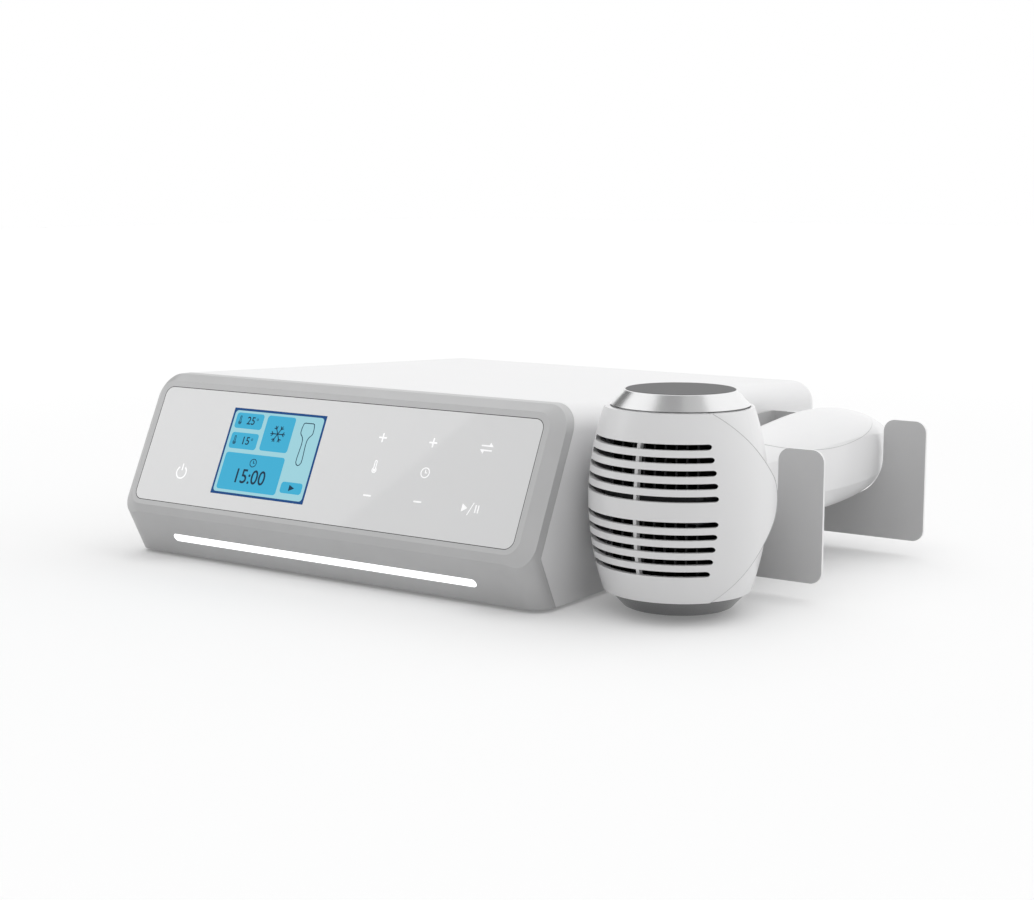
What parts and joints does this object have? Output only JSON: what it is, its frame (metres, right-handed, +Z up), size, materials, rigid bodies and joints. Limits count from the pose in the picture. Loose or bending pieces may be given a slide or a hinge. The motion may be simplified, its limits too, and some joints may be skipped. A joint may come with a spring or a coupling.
{
  "type": "hot and cold therapy machine",
  "caption": "Tabletop hot and cold therapy console with a tilted glass touch panel, a bent-sheet side holder and a barrel-headed handpiece that lifts out.",
  "frame": {"origin": "middle of the footprint of the whole object, on the table top under the feet", "axes": "+X to the console's right, where the holder is; +Y from the touch panel to the rear panel; +Z up"},
  "size_m": [0.4076, 0.3556, 0.1189],
  "materials": {
    "bezel": "satin silver-grey paint",
    "casing": "white, satin gloss",
    "glass": "silver-white back print, gloss",
    "display": "lit colour display, pale blue",
    "light": "white diffuser, lit",
    "sheet": "bead-blasted grey",
    "caps": "turned and polished",
    "steel": "zinc plated",
    "black": "black, fine grain",
    "board": "green solder mask",
    "ceramic": "white ceramic plates",
    "sinks": "extruded, plain",
    "feet": "moulded, matte",
    "pins": "plated contacts",
    "seal": "soft grey gasket",
    "tube": "clear fuse tube",
    "bush": "sintered bronze",
    "coil": "enamelled copper on an iron core"
  },
  "bodies": {
    "console": {"front_bezel": "bezel", "body_shell": "casing", "base_plate": "steel", "rubber_feet": "feet", "glass_panel": "glass", "lcd_screen": "display", "lcd_module": "steel", "touch_board": "board", "power_key_board": "board", "display_board": "board", "light_bar": "light", "led_strip": "board", "holder_bracket": "sheet", "holder_screws": "steel", "holder_nut_plate": "steel", "rear_panel": "casing", "power_inlet": "black", "inlet_pins": "pins", "rocker_pin": "steel", "handpiece_socket": "steel", "socket_pins": "pins", "console_fan_frame": "black", "power_supply": "steel", "control_board": "board", "base_screws": "steel", "fan_screws": "steel", "inlet_screws": "steel", "console_fan_bush": "bush", "console_fan_coil": "coil"},
    "handpiece": {"head_front_cover": "casing", "cold_cap": "caps", "hot_cap": "caps", "cold_peltier_module": "ceramic", "cold_heat_sink": "sinks", "hot_peltier_module": "ceramic", "hot_heat_sink": "sinks", "cold_cap_ring": "seal", "hot_cap_ring": "seal", "head_fan_frame": "black", "grip_housing": "casing", "grip_top_cover": "casing", "grip_end_cap": "casing", "cord_gland": "black", "grip_board": "board", "head_fan_bush": "bush", "head_fan_coil": "coil"},
    "head_fan": {"head_fan_wheel": "black", "head_fan_magnet": "black"},
    "console_fan": {"console_fan_wheel": "black", "console_fan_magnet": "black"},
    "rocker": {"switch_rocker": "black"},
    "fuse_drawer": {"fuse_drawer": "black", "fuse": "tube"}
  },
  "joints": [
    {"name": "handpiece_lift", "type": "slide", "parent": "console", "child": "handpiece", "axis": [0, 0, 1], "range_m": [0, 0.15]},
    {"name": "head_fan_spin", "type": "hinge", "parent": "handpiece", "child": "head_fan", "pos_m": [0.15085, -0.11275, 0.0614], "axis": [0, 0, 1], "continuous": true},
    {"name": "console_fan_spin", "type": "hinge", "parent": "console", "child": "console_fan", "pos_m": [-0.13764, 0.15771, 0.045], "axis": [0, 1, 0], "continuous": true},
    {"name": "switch_rock", "type": "hinge", "parent": "console", "child": "rocker", "pos_m": [0.04235, 0.16775, 0.0605], "axis": [1, 0, 0], "range_deg": [-14, 0]},
    {"name": "fuse_drawer_slide", "type": "slide", "parent": "console", "child": "fuse_drawer", "axis": [0, 1, 0], "range_m": [0, 0.016]}
  ]
}
